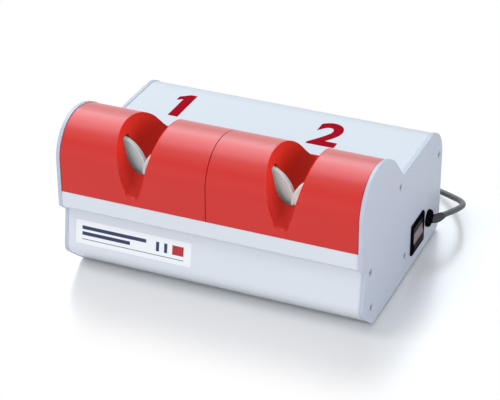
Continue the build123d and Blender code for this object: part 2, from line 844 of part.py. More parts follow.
def motor_fan():
    """Cooling fan with straight blades on the rear end of the rotor shaft."""
    y0 = motor_back_y + fan_gap
    reach = fan_radius - fan_hub_radius + 1.0
    fan = rod_y(fan_hub_radius, y0, y0 + fan_width, 0, motor_height)
    for blade in range(fan_blades):
        plate = Pos(fan_hub_radius - 1.0 + reach / 2, 0) * Rectangle(reach, fan_blade_thickness)
        plate = Pos(0, motor_height) * Rot(0, 0, 360 * blade / fan_blades) * plate
        fan += along_y(plate, y0, y0 + fan_width)
    shaft = spindle_radius - running_clearance
    return fan - rod_y(shaft, y0 - 1, y0 + fan_width + 1, 0, motor_height)


# ---- Trays and electrics ------------------------------------------------------------------

def swarf_trays():
    """Open sheet trays under the wheels; each one sits on the front tie rod."""
    y1 = front_plate_y - seat_gap
    trays = []
    for side in (-1, 1):
        x = side * station_offset
        tray = block(x - tray_half_length, x + tray_half_length, tray_front_y, y1,
                     tray_bottom, tray_bottom + tray_height)
        inside = tray_half_length - tray_wall
        tray -= block(x - inside, x + inside, tray_front_y + tray_wall, y1 - tray_wall,
                      tray_bottom + tray_wall, tray_bottom + tray_height + 1)
        trays.append(tray)
    return group(trays)


opening_y = bezel_size_y - 2 * bezel_rim
opening_z = bezel_size_z - 2 * bezel_rim
switch_face = length / 2 + bezel_depth
rocker_x = switch_face - rocker_pivot_depth


def switch_bezel():
    """Black frame round the rocker, with rounded corners and a bevelled rim."""
    sketch = Pos(at(switch_y), switch_height) * RectangleRounded(
        bezel_size_y, bezel_size_z, bezel_corner)
    frame = along_x(sketch, length / 2, switch_face)
    frame = chamfer(frame.faces().sort_by(Axis.X)[-1].edges(), 1.2)
    hole = Pos(at(switch_y), switch_height) * Rectangle(opening_y, opening_z)
    return frame - along_x(hole, length / 2 - 1, switch_face + 1)


def switch_box():
    """Hollow switch body behind the bezel, with three flat terminals."""
    outer = Pos(at(switch_y), switch_height) * Rectangle(
        opening_y + 2 * switch_box_wall, opening_z + 2 * switch_box_wall)
    hole = Pos(at(switch_y), switch_height) * Rectangle(opening_y, opening_z)
    back = length / 2 - switch_box_depth
    body = along_x(outer, back, length / 2)
    body -= along_x(hole, back + 3 * switch_box_wall, length / 2 + 1)
    for shift in (-1, 0, 1):
        y = switch_y + shift * opening_y / 3
        body += block(back - 8.0, back + 1.0, y - 0.5, y + 0.5,
                      switch_height - 3.0, switch_height + 3.0)
    return body


def rocker_switch():
    """Rocker with two dished facets and round ends about its pivot, upper half pressed in."""
    radius = opening_z / 2 - rocker_clearance
    face_x = rocker_pivot_depth + rocker_rise
    points = [(face_x, radius), (-rocker_thickness, radius), (-rocker_thickness, -radius),
              (face_x, -radius), (face_x - rocker_dish, 0.0)]
    side = Polygon(*points, align=None) & Circle(radius)
    side = Pos(rocker_x, switch_height) * Rot(0, 0, rocker_throw / 2) * side
    y0 = switch_y - opening_y / 2 + rocker_clearance
    return along_y(side, y0, y0 + opening_y - 2 * rocker_clearance)


def cord_gland():
    """Elbow cord gland: thread through the plate, flange, bent nose and tapered tail."""
    x = length / 2
    thread_back = inner_half - gland_nut_thickness - 2.0
    body = rod_x(gland_thread_radius - 0.1, thread_back, x, gland_y, gland_height)
    disc = rod_x(gland_flange_radius, x, x + gland_flange_thickness, gland_y, gland_height)
    body += chamfer(disc.faces().sort_by(Axis.X)[-1].edges(), 1.2)
    path = gland_path()
    nose = sweep(Plane(origin=path @ 0, z_dir=(1, 0, 0)) * Circle(gland_nose_radius), path=path)
    tip = Plane(origin=path @ 1, z_dir=path % 1)
    tail = loft([tip * Circle(gland_nose_radius),
                 tip.offset(gland_tail) * Circle(gland_tip_radius)])
    return body + nose + tail


def gland_path():
    """Quarter-bend that turns the cord backwards, close to the end plate."""
    start = (length / 2 + gland_flange_thickness - 1.0, at(gland_y), gland_height)
    heading = math.radians(gland_turn)
    end = (start[0] + gland_bend_radius * math.sin(heading),
           start[1] + gland_bend_radius * (1 - math.cos(heading)), gland_height)
    half = heading / 2
    middle = (start[0] + gland_bend_radius * math.sin(half),
              start[1] + gland_bend_radius * (1 - math.cos(half)), gland_height)
    return ThreePointArc(start, middle, end)


def gland_nut():
    """Hexagon nut that holds the gland from inside."""
    sketch = Pos(at(gland_y), gland_height) * RegularPolygon(gland_nut_radius, 6)
    nut = along_x(sketch, inner_half - gland_nut_thickness, inner_half)
    return nut - rod_x(gland_thread_radius, inner_half - 10, inner_half + 1, gland_y, gland_height)


def motor_capacitor():
    """Run capacitor lying on the base plate, with two flat terminals."""
    z = base_top + capacitor_radius
    x0 = capacitor_x - capacitor_length / 2
    can = rod_x(capacitor_radius, x0, x0 + capacitor_length, capacitor_y, z)
    for shift in (-5.0, 5.0):
        y = capacitor_y + shift
        can += block(x0 - 8.0, x0 + 1.0, y - 0.4, y + 0.4, z - 3.0, z + 3.0)
    return can


def capacitor_strap():
    """Bent strap over the capacitor, with a foot on each side."""
    z = base_top + capacitor_radius
    x0, x1 = capacitor_x - strap_width / 2, capacitor_x + strap_width / 2
    outer = capacitor_radius + strap_thickness
    arch = Pos(at(capacitor_y), z) * Circle(outer)
    arch -= end_rectangle(capacitor_y - outer, z - outer - 1, capacitor_y + outer, z)
    arch += end_rectangle(capacitor_y - outer, base_top, capacitor_y + outer, z)
    arch -= Pos(at(capacitor_y), z) * Circle(capacitor_radius)
    arch -= end_rectangle(capacitor_y - capacitor_radius, base_top - 1,
                          capacitor_y + capacitor_radius, z)
    arch += end_rectangle(capacitor_y - outer - 8.0, base_top, capacitor_y - capacitor_radius,
                          base_top + strap_thickness)
    arch += end_rectangle(capacitor_y + capacitor_radius, base_top, capacitor_y + outer + 8.0,
                          base_top + strap_thickness)
    return along_x(arch, x0, x1)


def terminal_block():
    """Screw terminal block on the base plate, with a wire entry for each pole."""
    sx, sy, sz = terminal_size
    x0, y0 = terminal_x - sx / 2, terminal_y - sy / 2
    body = block(x0, x0 + sx, y0, y0 + sy, base_top, base_top + sz)
    for pole in range(3):
        x = x0 + sx * (pole + 0.5) / 3
        body -= Pos(x, at(terminal_y), base_top + sz) * Cylinder(3.2, 6.0)
        body -= rod_y(2.0, y0 - 1, y0 + 5.0, x, base_top + 4.0)
        body -= rod_y(2.0, y0 + sy - 5.0, y0 + sy + 1, x, base_top + 4.0)
    return body


def name_plate():
    """Thin plate on the leaning lower front."""
    lean = math.atan2(recess_depth - toe_setback, recess_top - foot_height - toe_rise)
    foot_y = toe_setback + label_low_gap * math.tan(lean)
    head_y = recess_depth - label_high_gap * math.tan(lean)
    face = [(foot_y, foot_height + toe_rise + label_low_gap),
            (head_y, recess_top - label_high_gap)]
    out = (-label_thickness * math.cos(lean), label_thickness * math.sin(lean))
    corners = [end_view(*face[0]), end_view(*face[1]),
               end_view(face[1][0] + out[0], face[1][1] + out[1]),
               end_view(face[0][0] + out[0], face[0][1] + out[1])]
    x0 = -length / 2 + label_left
    return along_x(Polygon(*corners, align=None), x0, x0 + label_length)


def mains_leads():
    """Insulated wires between gland, terminal block, switch, capacitor and motor."""
    hole_z = base_top + 4.0
    sx, sy, _ = terminal_size
    pole_x = [terminal_x + sx * share for share in (-1 / 3, 0, 1 / 3)]
    tab_x = length / 2 - switch_box_depth - 8.0
    can_x = capacitor_x - capacitor_length / 2 - 8.0
    can_z = base_top + capacitor_radius
    front_y = terminal_y - sy / 2
    back_y = terminal_y + sy / 2
    gland_back = inner_half - gland_nut_thickness - 2.0
    reach = motor_radius - motor_shell + lead_radius
    low = (reach * math.cos(math.radians(45)), motor_height - reach * math.sin(math.radians(45)))
    high = (reach * math.cos(math.radians(25)), motor_height - reach * math.sin(math.radians(25)))
    turn_y = motor_back_y + 2 * fan_width
    tab_y = opening_y / 3
    routes = [
        ((gland_back, gland_y, gland_height), (gland_back - 7, gland_y, gland_height),
         (gland_back - 10, back_y + 12, hole_z), (pole_x[2], back_y + 12, hole_z),
         (pole_x[2], back_y - 4, hole_z)),
        ((tab_x, switch_y + tab_y, switch_height), (tab_x - 10, switch_y + tab_y, switch_height),
         (pole_x[0], front_y - 9, hole_z), (pole_x[0], front_y + 4, hole_z)),
        ((tab_x, switch_y - tab_y, switch_height), (tab_x - 9, switch_y - tab_y, switch_height),
         (tab_x - 26, switch_y - tab_y, 46.0),
         (60.0, turn_y - 6, 46.0), (low[0], turn_y, low[1]), (low[0], motor_back_y, low[1])),
        ((can_x, capacitor_y - 5, can_z), (can_x - 12, capacitor_y - 5, can_z),
         (50.0, turn_y, 50.0), (high[0], turn_y, high[1]), (high[0], motor_back_y, high[1])),
    ]
    wires = []
    for route in routes:
        path = FilletPolyline(*[(x, at(y), z) for x, y, z in route], radius=2 * lead_radius)
        start = Plane(origin=path @ 0, z_dir=path % 0)
        wires.append(sweep(start * Circle(lead_radius), path=path))
    return group(wires)


# ---- Mains cord -----------------------------------------------------------------------------

def cord_start():
    """Tip of the gland's tail, where the cord comes out."""
    path = gland_path()
    return path @ 1 + (path % 1) * gland_tail


def cord_path():
    """Straight runs joined by arcs as large as the runs allow."""
    start = cord_start()
    points = [Vector(*start)]
    points += [Vector(length / 2 + x, at(depth + y), z) for x, y, z in cord_run]
    radii = []
    for a, b, c in zip(points, points[1:], points[2:]):
        bend = math.radians((b - a).get_angle(c - b))
        shorter = min((b - a).length, (c - b).length)
        radii.append(0.45 * shorter / math.tan(bend / 2))
    print("cord corner radii", [round(r, 1) for r in radii])
    return FilletPolyline(*points, radius=radii)


def power_cord():
    """Round cord from the gland to the coil."""
    path = cord_path()
    tube = sweep(Plane(origin=path @ 0, z_dir=path % 0) * Circle(cord_radius), path=path)
    section = math.pi * cord_radius ** 2
    print("cord length", round(path.length, 1), "volume ratio",
          round(tube.volume / (section * path.length), 4))
    return tube


def cord_coil():
    """Wound spare length as one closed ring."""
    ring = Cylinder(coil_radius + coil_width / 2, coil_height)
    ring -= Cylinder(coil_radius - coil_width / 2, coil_height + 2)
    ring = fillet(ring.edges().filter_by(GeomType.CIRCLE), coil_edge)
    return Pos(coil_centre[0], at(coil_centre[1]), coil_height / 2) * ring


def cord_plug():
    """Two-pin mains plug lying beside the coil: tail, grip and contact disc."""
    y, z = coil_centre[1] + coil_radius, plug_axis_height
    grip_x = plug_tail_x - plug_tail_length
    disc_x = grip_x - plug_grip_length
    face_x = disc_x - plug_disc_length
    side = Plane.YZ.offset(plug_tail_x)
    tail = loft([side * Pos(at(y), z) * Circle(cord_radius + 0.8),
                 Plane.YZ.offset(grip_x) * Pos(at(y), z) * Circle(plug_tail_radius)])
    grip = loft([Plane.YZ.offset(grip_x) * Pos(at(y), z) * Circle(plug_grip_radius * 0.8),
                 Plane.YZ.offset(disc_x) * Pos(at(y), z) * Circle(plug_grip_radius * 1.2)])
    disc = rod_x(plug_disc_radius, face_x, disc_x, y, z)
    disc = chamfer(disc.edges().filter_by(GeomType.CIRCLE), 2.0)
    return tail + grip + disc


def plug_pins():
    """Round contact pins of the plug."""
    y, z = coil_centre[1] + coil_radius, plug_axis_height
    face_x = plug_tail_x - plug_tail_length - plug_grip_length - plug_disc_length
    pins = []
    for shift in (-pin_spacing / 2, pin_spacing / 2):
        pin = rod_x(pin_radius, face_x - pin_length, face_x, y + shift, z)
        pins.append(fillet(pin.faces().sort_by(Axis.X)[0].edges(), 1.5))
    return group(pins)


# ---- All pieces ---------------------------------------------------------------------------

save("base_plate", base_plate())
save("front_panel", front_panel())
save("rear_cover", rear_cover())
save("left_end_plate", end_plate(-1))
save("right_end_plate", end_plate(1))
save("tie_rods", tie_rods())
save("end_plate_screws", end_plate_screws())
save("feet", feet())
save("name_plate", name_plate())
save("swarf_trays", swarf_trays())

right_hood = hood()
save("right_hood", right_hood)
save("left_hood", mirror(right_hood, Plane.YZ))

save("front_bearing_plate", bearing_plate(front_plate_y, spindle_row + gear_row))
save("rear_bearing_plate", bearing_plate(rear_plate_y, spindle_row + gear_row + motor_place))
save("plate_pillars", plate_pillars())
save("base_screws", group(foot_screws() + chassis_screws()))
save("spindle_bearings", group(bearings(spindle_row, both_plates)))
save("gear_bearings", group(
    bearings(gear_row, both_plates) + bearings(motor_place, (rear_plate_y,))))

phases = train_phases()
names = ("left_outer", "left_inner", "right_inner", "right_outer")
for name, x in zip(names, spindle_places()):
    side, rank = name.split("_")
    right_of_pair = name in ("left_inner", "right_outer")
    wheel_y = front_wheel_y if right_of_pair else rear_wheel_y
    radius = wheel_radius - front_wheel_step if right_of_pair else wheel_radius
    gear_phase, pinion_phase = phases[rank + "_gear"], phases[rank + "_pinion"]
    if side == "left":
        gear_phase, pinion_phase = 180.0 - gear_phase, 180.0 - pinion_phase
    save(name + "_spindle", spindle(x, wheel_y, pinion_phase))
    save(name + "_wheel", grinding_wheel(x, wheel_y, radius))
    save(name + "_nut", wheel_nut(x, wheel_y))
    save(name + "_gear", geared_shaft(x, gear_phase))

save("motor_gear", motor_gear())
save("motor_housing", motor_shell_body())
save("motor_front_cover", motor_end_cover(motor_front_y, motor_front_y + 1.5))
rear_cover_y = motor_back_y - motor_cover
save("motor_rear_cover", motor_end_cover(rear_cover_y, rear_cover_y + 1.5))
stator_y = motor_front_y + motor_cover + stator_end_gap
stator_length = motor_length - 2 * motor_cover - 2 * stator_end_gap
save("motor_stator", motor_ring(motor_radius - motor_shell, stator_bore, stator_y, stator_length))
save("motor_bearings", group(
    motor_ring(motor_bearing_radius, spindle_radius, y + 1.5, motor_bearing_width)
    for y in (motor_front_y, rear_cover_y)))
save("motor_rotor", motor_rotor())
save("motor_fan", motor_fan())
save("motor_bracket", motor_bracket())
save("motor_bolts", motor_bolts())

save("switch_bezel", switch_bezel())
save("switch_box", switch_box())
save("rocker_switch", rocker_switch())
save("cord_gland", cord_gland())
save("gland_nut", gland_nut())
save("motor_capacitor", motor_capacitor())
save("capacitor_strap", capacitor_strap())
save("terminal_block", terminal_block())
save("mains_leads", mains_leads())
save("power_cord", power_cord())
save("cord_coil", cord_coil())
save("cord_plug", cord_plug())
save("plug_pins", plug_pins())
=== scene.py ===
import math
import bpy
import numpy as np
from mathutils import Matrix, Vector


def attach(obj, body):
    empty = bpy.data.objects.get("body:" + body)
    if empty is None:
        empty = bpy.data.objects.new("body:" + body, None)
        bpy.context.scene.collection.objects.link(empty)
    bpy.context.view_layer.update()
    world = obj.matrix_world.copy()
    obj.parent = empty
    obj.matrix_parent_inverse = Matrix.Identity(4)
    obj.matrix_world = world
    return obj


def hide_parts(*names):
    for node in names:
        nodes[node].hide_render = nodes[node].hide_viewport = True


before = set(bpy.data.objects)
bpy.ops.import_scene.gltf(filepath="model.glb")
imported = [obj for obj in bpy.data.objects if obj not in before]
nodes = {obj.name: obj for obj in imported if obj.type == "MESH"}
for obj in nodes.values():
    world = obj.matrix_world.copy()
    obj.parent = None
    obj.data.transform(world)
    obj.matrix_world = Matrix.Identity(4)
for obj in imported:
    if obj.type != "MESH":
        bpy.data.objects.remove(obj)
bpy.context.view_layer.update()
mm = 0.001
print("frame loaded,", len(nodes), "nodes")


# ---- object and mesh helpers ----

def newObject(name, data):
    thing = bpy.data.objects.new(name, data)
    bpy.context.scene.collection.objects.link(thing)
    return thing


def newPiece(name, points, faces, smooth=True):
    mesh = bpy.data.meshes.new(name)
    corners = np.asarray(points, float).reshape(-1, 3).tolist()
    mesh.from_pydata(corners, [], [list(map(int, face)) for face in faces])
    mesh.update()
    mesh.polygons.foreach_set("use_smooth", np.full(len(mesh.polygons), smooth))
    return newObject(name, mesh)


def gridFaces(rows, columns):
    # quads of a grid of rows x columns points that closes on itself both ways
    i, j = np.meshgrid(np.arange(rows), np.arange(columns), indexing="ij")
    i, j = i.ravel(), j.ravel()
    here, below = i * columns, ((i + 1) % rows) * columns
    across = (j + 1) % columns
    return np.stack([here + j, here + across, below + across, below + j], 1)


# ---- camera ----

view = {
    "azimuth": 23.303, "elevation": 29.842, "roll": -0.277,   # degrees
    "place": (0.7172, -1.6793, 1.1163),
    "lens": 131.58, "sensor": 36.0, "clip": (0.01, 50.0),
}


def placeCamera(values):
    az, el, roll = (math.radians(values[k]) for k in ("azimuth", "elevation", "roll"))
    back = Vector((math.sin(az) * math.cos(el), -math.cos(az) * math.cos(el), math.sin(el)))
    right = Vector((math.cos(az), math.sin(az), 0.0))
    up = back.cross(right)
    turnedRight = right * math.cos(roll) + up * math.sin(roll)
    turnedUp = up * math.cos(roll) - right * math.sin(roll)
    data = bpy.data.cameras.new("camera")
    data.sensor_width = values["sensor"]
    data.lens = values["lens"]
    data.clip_start, data.clip_end = values["clip"]
    camera = newObject("camera", data)
    turn = Matrix((turnedRight, turnedUp, back)).transposed().to_4x4()
    camera.matrix_world = Matrix.Translation(values["place"]) @ turn
    bpy.context.scene.camera = camera


placeCamera(view)
bpy.context.scene.view_settings.view_transform = "Standard"
print("camera placed")


# ---- shader node helpers ----

def addNode(tree, kind, inputs=None, **settings):
    node = tree.nodes.new(kind)
    for name, value in settings.items():
        setattr(node, name, value)
    for name, value in (inputs or {}).items():
        if isinstance(value, bpy.types.NodeSocket):
            tree.links.new(value, node.inputs[name])
        else:
            node.inputs[name].default_value = value
    return node


def calc(tree, operation, a, b=0.0, clamp=False):
    node = addNode(tree, "ShaderNodeMath", {0: a, 1: b}, operation=operation, use_clamp=clamp)
    return node.outputs[0]


def blend(tree, share, under, over):
    # the colour over where share is 1, and the colour under where it is 0
    mix = addNode(tree, "ShaderNodeMix", {"Factor": share, 6: under, 7: over}, data_type="RGBA")
    return mix.outputs[2]


def newGroup(name, inputs, outputs):
    tree = bpy.data.node_groups.new(name, "ShaderNodeTree")
    kinds = {float: "NodeSocketFloat", tuple: "NodeSocketColor"}
    for label, value in inputs.items():
        socket = tree.interface.new_socket(label, in_out="INPUT", socket_type=kinds[type(value)])
        socket.default_value = value
    for label, kind in outputs.items():
        tree.interface.new_socket(label, in_out="OUTPUT", socket_type="NodeSocket" + kind)
    into = tree.nodes.new("NodeGroupInput").outputs
    return tree, into, tree.nodes.new("NodeGroupOutput").inputs


def addGroup(tree, group, values):
    node = tree.nodes.new("ShaderNodeGroup")
    node.node_tree = group
    for label, value in values.items():
        node.inputs[label].default_value = value
    return node.outputs


def objectPlace(tree, stretch=(1.0, 1.0, 1.0)):
    place = addNode(tree, "ShaderNodeTexCoord").outputs["Object"]
    return addNode(tree, "ShaderNodeMapping", {"Vector": place, "Scale": stretch}).outputs[0]


def millimetres(tree):
    # the object's own x, y and z
    place = addNode(tree, "ShaderNodeTexCoord").outputs["Object"]
    side = addNode(tree, "ShaderNodeSeparateXYZ", {0: place}).outputs
    return [calc(tree, "MULTIPLY", side[axis], 1.0 / mm) for axis in "XYZ"]


def cloud(tree, place, size, detail):
    # noise with features about one size across, given in metres
    scale = calc(tree, "DIVIDE", 1.0, size)
    node = addNode(tree, "ShaderNodeTexNoise", {"Vector": place, "Scale": scale, "Detail": detail})
    return node.outputs["Fac"]


def shift(tree, value, spread):
    # signed change around zero from a 0..1 noise
    return calc(tree, "MULTIPLY", calc(tree, "SUBTRACT", value, 0.5), spread)


def seenByEye(tree, ray):
    # 1 for what the camera sees straight, in a reflection or through glass
    bent = calc(tree, "MAXIMUM", ray["Is Glossy Ray"], ray["Is Transmission Ray"])
    return calc(tree, "MAXIMUM", ray["Is Camera Ray"], bent)


# ---- shared effects ----

pattern = {
    # noises, as feature size in metres and detail
    "mottle": (0.06, 3.0), "sheen": (0.02, 2.0), "marks": (0.015, 4.0), "stain": (0.012, 4.0),
    "pore": (0.0012, 3.0),
    # detail of the noises whose size is set in each finish
    "peelDetail": 1.0, "streakDetail": 3.0,
    "cellSoftness": 0.6,
    "poreFrom": 0.62, "poreGain": 8.0,
    "edgeGain": 3.0, "edgeSamples": 6,
}


def newSkin(name, inputs):
    return newGroup(name, inputs, {"Colour": "Color", "Roughness": "Float", "Normal": "Vector"})


def softEdge(tree, radius):
    # the normal rounded over the arrises, and a mask of where it leans away from the flat one; the
    # skins lighten the colour with this mask as a painted highlight
    soft = addNode(tree, "ShaderNodeBevel", {"Radius": radius}, samples=pattern["edgeSamples"])
    flat = addNode(tree, "ShaderNodeNewGeometry").outputs["Normal"]
    together = addNode(tree, "ShaderNodeVectorMath", {0: soft.outputs[0], 1: flat},
                       operation="DOT_PRODUCT")
    lean = calc(tree, "SUBTRACT", 1.0, together.outputs["Value"])
    return soft.outputs[0], calc(tree, "MULTIPLY", lean, pattern["edgeGain"], clamp=True)


def closeSkin(tree, out, colour, value, rough, bump):
    # value brightens or darkens the colour around 1
    tint = addNode(tree, "ShaderNodeHueSaturation", {"Color": colour, "Value": value})
    tree.links.new(tint.outputs[0], out["Colour"])
    tree.links.new(rough, out["Roughness"])
    tree.links.new(bump.outputs[0], out["Normal"])
    return tree


def makePaintSkin():
    # sprayed coat: faint mottle, orange peel, softened arrises with a painted highlight along them
    tree, into, out = newSkin("paintSkin", {
        "Colour": (0.8, 0.8, 0.8, 1.0), "Mottle": 0.05, "Roughness": 0.4, "Rough Spread": 0.08,
        "Peel Size": 0.0012, "Peel Depth": 0.00002, "Edge Radius": 0.0006, "Painted Edge Highlight": 0.1,
    })
    place = objectPlace(tree)
    wide = cloud(tree, place, *pattern["mottle"])
    sheen = cloud(tree, place, *pattern["sheen"])
    fine = cloud(tree, place, into["Peel Size"], pattern["peelDetail"])
    soft, highlightMask = softEdge(tree, into["Edge Radius"])
    value = calc(tree, "ADD", 1.0, shift(tree, wide, into["Mottle"]))
    # painted highlight: the colour is lightened along the arrises by the edge mask
    value = calc(tree, "ADD", value, calc(tree, "MULTIPLY", highlightMask, into["Painted Edge Highlight"]))
    rough = calc(tree, "ADD", into["Roughness"], shift(tree, sheen, into["Rough Spread"]))
    bump = addNode(tree, "ShaderNodeBump", {"Height": fine, "Distance": into["Peel Depth"],
                                            "Normal": soft})
    return closeSkin(tree, out, into["Colour"], value, rough, bump)


def makeMouldedSkin():
    # spark-eroded mould grain: small cells with soft dimples, plus faint handling marks, and a
    # painted highlight along the arrises
    tree, into, out = newSkin("mouldedSkin", {
        "Colour": (0.05, 0.05, 0.05, 1.0), "Mottle": 0.1, "Roughness": 0.5, "Rough Spread": 0.1,
        "Grain Size": 0.0006, "Grain Depth": 0.00003, "Edge Radius": 0.0005, "Painted Edge Highlight": 0.2,
    })
    place = objectPlace(tree)
    scale = calc(tree, "DIVIDE", 1.0, into["Grain Size"])
    cells = addNode(tree, "ShaderNodeTexVoronoi", {"Vector": place, "Scale": scale},
                    feature="SMOOTH_F1")
    cells.inputs["Smoothness"].default_value = pattern["cellSoftness"]
    marks = cloud(tree, place, *pattern["marks"])
    soft, highlightMask = softEdge(tree, into["Edge Radius"])
    value = calc(tree, "ADD", 1.0, shift(tree, marks, into["Mottle"]))
    # painted highlight: the colour is lightened along the arrises by the edge mask
    value = calc(tree, "ADD", value, calc(tree, "MULTIPLY", highlightMask, into["Painted Edge Highlight"]))
    rough = calc(tree, "ADD", into["Roughness"], shift(tree, marks, into["Rough Spread"]))
    bump = addNode(tree, "ShaderNodeBump", {"Height": cells.outputs["Distance"],
                                            "Distance": into["Grain Depth"], "Normal": soft})
    return closeSkin(tree, out, into["Colour"], value, rough, bump)


def makeMetalSkin(name, stretch):
    # rolled, turned, stacked or cast metal: streaks along one axis, dull patches, a painted
    # highlight on the arrises
    tree, into, out = newSkin(name, {
        "Colour": (0.6, 0.6, 0.6, 1.0), "Streak": 0.12, "Stain": 0.1, "Roughness": 0.35,
        "Rough Spread": 0.15, "Streak Size": 0.0004, "Streak Depth": 0.00001,
        "Edge Radius": 0.0004, "Painted Edge Highlight": 0.25,
    })
    place = objectPlace(tree, stretch)
    lines = cloud(tree, place, into["Streak Size"], pattern["streakDetail"])
    patch = cloud(tree, objectPlace(tree), *pattern["stain"])
    soft, highlightMask = softEdge(tree, into["Edge Radius"])
    value = calc(tree, "ADD", 1.0, shift(tree, lines, into["Streak"]))
    value = calc(tree, "ADD", value, shift(tree, patch, into["Stain"]))
    # painted highlight: the colour is lightened along the arrises by the edge mask
    value = calc(tree, "ADD", value, calc(tree, "MULTIPLY", highlightMask, into["Painted Edge Highlight"]))
    rough = calc(tree, "ADD", into["Roughness"], shift(tree, patch, into["Rough Spread"]))
    rough = calc(tree, "ADD", rough, shift(tree, lines, into["Rough Spread"]))
    bump = addNode(tree, "ShaderNodeBump", {"Height": lines, "Distance": into["Streak Depth"],
                                            "Normal": soft})
    return closeSkin(tree, out, into["Colour"], value, rough, bump)


def makeGritSkin():
    # bonded abrasive: bright and dark grains in a paler bond, small open pores with painted shade
    # in them
    tree, into, out = newSkin("gritSkin", {
        "Colour": (0.8, 0.8, 0.78, 1.0), "Grain": 0.18, "Pore Shade": 0.25, "Roughness": 0.8,
        "Rough Spread": 0.15, "Grain Size": 0.0005, "Grain Depth": 0.0001,
    })
    place = objectPlace(tree)
    scale = calc(tree, "DIVIDE", 1.0, into["Grain Size"])
    cells = addNode(tree, "ShaderNodeTexVoronoi", {"Vector": place, "Scale": scale})
    shade = addNode(tree, "ShaderNodeSeparateColor", {"Color": cells.outputs["Color"]}).outputs[0]
    pore = calc(tree, "SUBTRACT", cloud(tree, place, *pattern["pore"]), pattern["poreFrom"])
    pit = calc(tree, "MULTIPLY", pore, pattern["poreGain"], clamp=True)
    value = calc(tree, "ADD", 1.0, shift(tree, shade, into["Grain"]))
    # painted shade: the colour is darkened in the pits of the pores
    value = calc(tree, "SUBTRACT", value, calc(tree, "MULTIPLY", pit, into["Pore Shade"]))
    rough = calc(tree, "ADD", into["Roughness"], shift(tree, shade, into["Rough Spread"]))
    height = calc(tree, "SUBTRACT", shade, pit)
    bump = addNode(tree, "ShaderNodeBump", {"Height": height, "Distance": into["Grain Depth"]})
    return closeSkin(tree, out, into["Colour"], value, rough, bump)


effects = {
    "paint": makePaintSkin(),
    "moulded": makeMouldedSkin(),
    "rolled": makeMetalSkin("rolledSkin", (0.04, 1.0, 1.0)),      # streaks along X
    "turned": makeMetalSkin("turnedSkin", (1.0, 0.15, 1.0)),      # streaks along a shaft on Y
    "stacked": makeMetalSkin("stackedSkin", (0.05, 1.0, 0.05)),   # sheet edges stacked along Y
    "cast": makeMetalSkin("castSkin", (1.0, 1.0, 1.0)),
    "grit": makeGritSkin(),
}


def finish(name, effect, values, **plain):
    # one Principled material fed by a shared effect; plain values sit on the shader's own sockets
    material = bpy.data.materials.new(name)
    material.use_nodes = True
    tree = material.node_tree
    shader = tree.nodes["Principled BSDF"].inputs
    skin = addGroup(tree, effects[effect], values)
    tree.links.new(skin["Colour"], shader["Base Color"])
    tree.links.new(skin["Roughness"], shader["Roughness"])
    tree.links.new(skin["Normal"], shader["Normal"])
    for label, value in plain.items():
        shader[label.replace("_", " ")].default_value = value
    return material


def coat(material, *names):
    for name in names:
        piece = nodes[name] if name in nodes else bpy.data.objects[name]
        piece.data.materials.clear()
        piece.data.materials.append(material)


blockEnds = [word + " " + axis for axis in "XYZ" for word in ("Low", "High")]


def makeStrike():
    # 1 inside a block between Low and High of the object's own x, y and z, in millimetres
    sockets = {**{end: 0.0 for end in blockEnds}, "Sharpness": 8.0}
    tree, into, out = newGroup("strike", sockets, {"Mask": "Float"})
    mask = 1.0
    for axis, value in zip("XYZ", millimetres(tree)):
        over = calc(tree, "SUBTRACT", value, into["Low " + axis])
        under = calc(tree, "SUBTRACT", into["High " + axis], value)
        depth = calc(tree, "MINIMUM", over, under)
        inside = calc(tree, "MULTIPLY", depth, into["Sharpness"], clamp=True)
        mask = calc(tree, "MULTIPLY", inside, mask)
    tree.links.new(mask, out["Mask"])
    return tree


strike = makeStrike()


def printAndPaintOn(material, values):
    # the blocks lie over the material's own colour, one after another: inks, and on the rocker a
    # painted reflection
    tree = material.node_tree
    target = tree.nodes["Principled BSDF"].inputs["Base Color"]
    colour = target.links[0].from_socket
    for ends, blockColour in values["blocks"].values():
        block = {**dict(zip(blockEnds, ends)), "Sharpness": values["sharpness"]}
        colour = blend(tree, addGroup(tree, strike, block)["Mask"], colour, blockColour)
    tree.links.new(colour, target)


# ---- painted sheet ----

# the edge amount in these finishes sets a painted highlight along the arrises
endPaint = {"Colour": (0.50, 0.545, 0.65, 1.0), "Mottle": 0.03, "Roughness": 0.42,
            "Rough Spread": 0.06, "Peel Size": 0.0011, "Peel Depth": 0.000022,
            "Edge Radius": 0.0012, "Painted Edge Highlight": 0.6}
frontPaint = {"Colour": (0.71, 0.745, 0.80, 1.0), "Mottle": 0.03, "Roughness": 0.36,
              "Rough Spread": 0.06, "Peel Size": 0.0012, "Peel Depth": 0.00002,
              "Edge Radius": 0.0008, "Painted Edge Highlight": 0.12}
coverPaint = {"Colour": (0.71, 0.775, 0.845, 1.0), "Mottle": 0.02, "Roughness": 0.45,
              "Rough Spread": 0.06, "Peel Size": 0.0013, "Peel Depth": 0.000025,
              "Edge Radius": 0.0008, "Painted Edge Highlight": 0.1}
coat(finish("endPaint", "paint", endPaint), "left_end_plate", "right_end_plate")
coat(finish("frontPaint", "paint", frontPaint), "front_panel")
coat(finish("coverPaint", "paint", coverPaint, Specular_IOR_Level=0.25), "rear_cover")


# ---- hoods ----

hoodPlastic = {"Colour": (0.61, 0.015, 0.009, 1.0), "Mottle": 0.05, "Roughness": 0.36,
               "Rough Spread": 0.02, "Peel Size": 0.004, "Peel Depth": 0.000004,
               "Edge Radius": 0.0012, "Painted Edge Highlight": 0.12}
# the two notch reds are the painted shade low on the notch walls and the painted highlight high up
hoodShine = {"outerSpecular": 0.3, "outerCoat": 0.4, "bouncedRed": (0.62, 0.36, 0.33, 1.0),
             "shadedNotchRed": (0.42, 0.028, 0.026, 1.0), "litNotchRed": (0.95, 0.045, 0.028, 1.0)}
# the notches as the part has them, in mm, with the heights between which the painted shade on
# their walls lifts from dark red to bright red
notchShape = {"Station": 88.0, "Half": 18.5, "Shoulder": 161.0, "Spread": 0.215, "Front": -133.5,
              "Floor": 105.0, "Climb": 75.0}


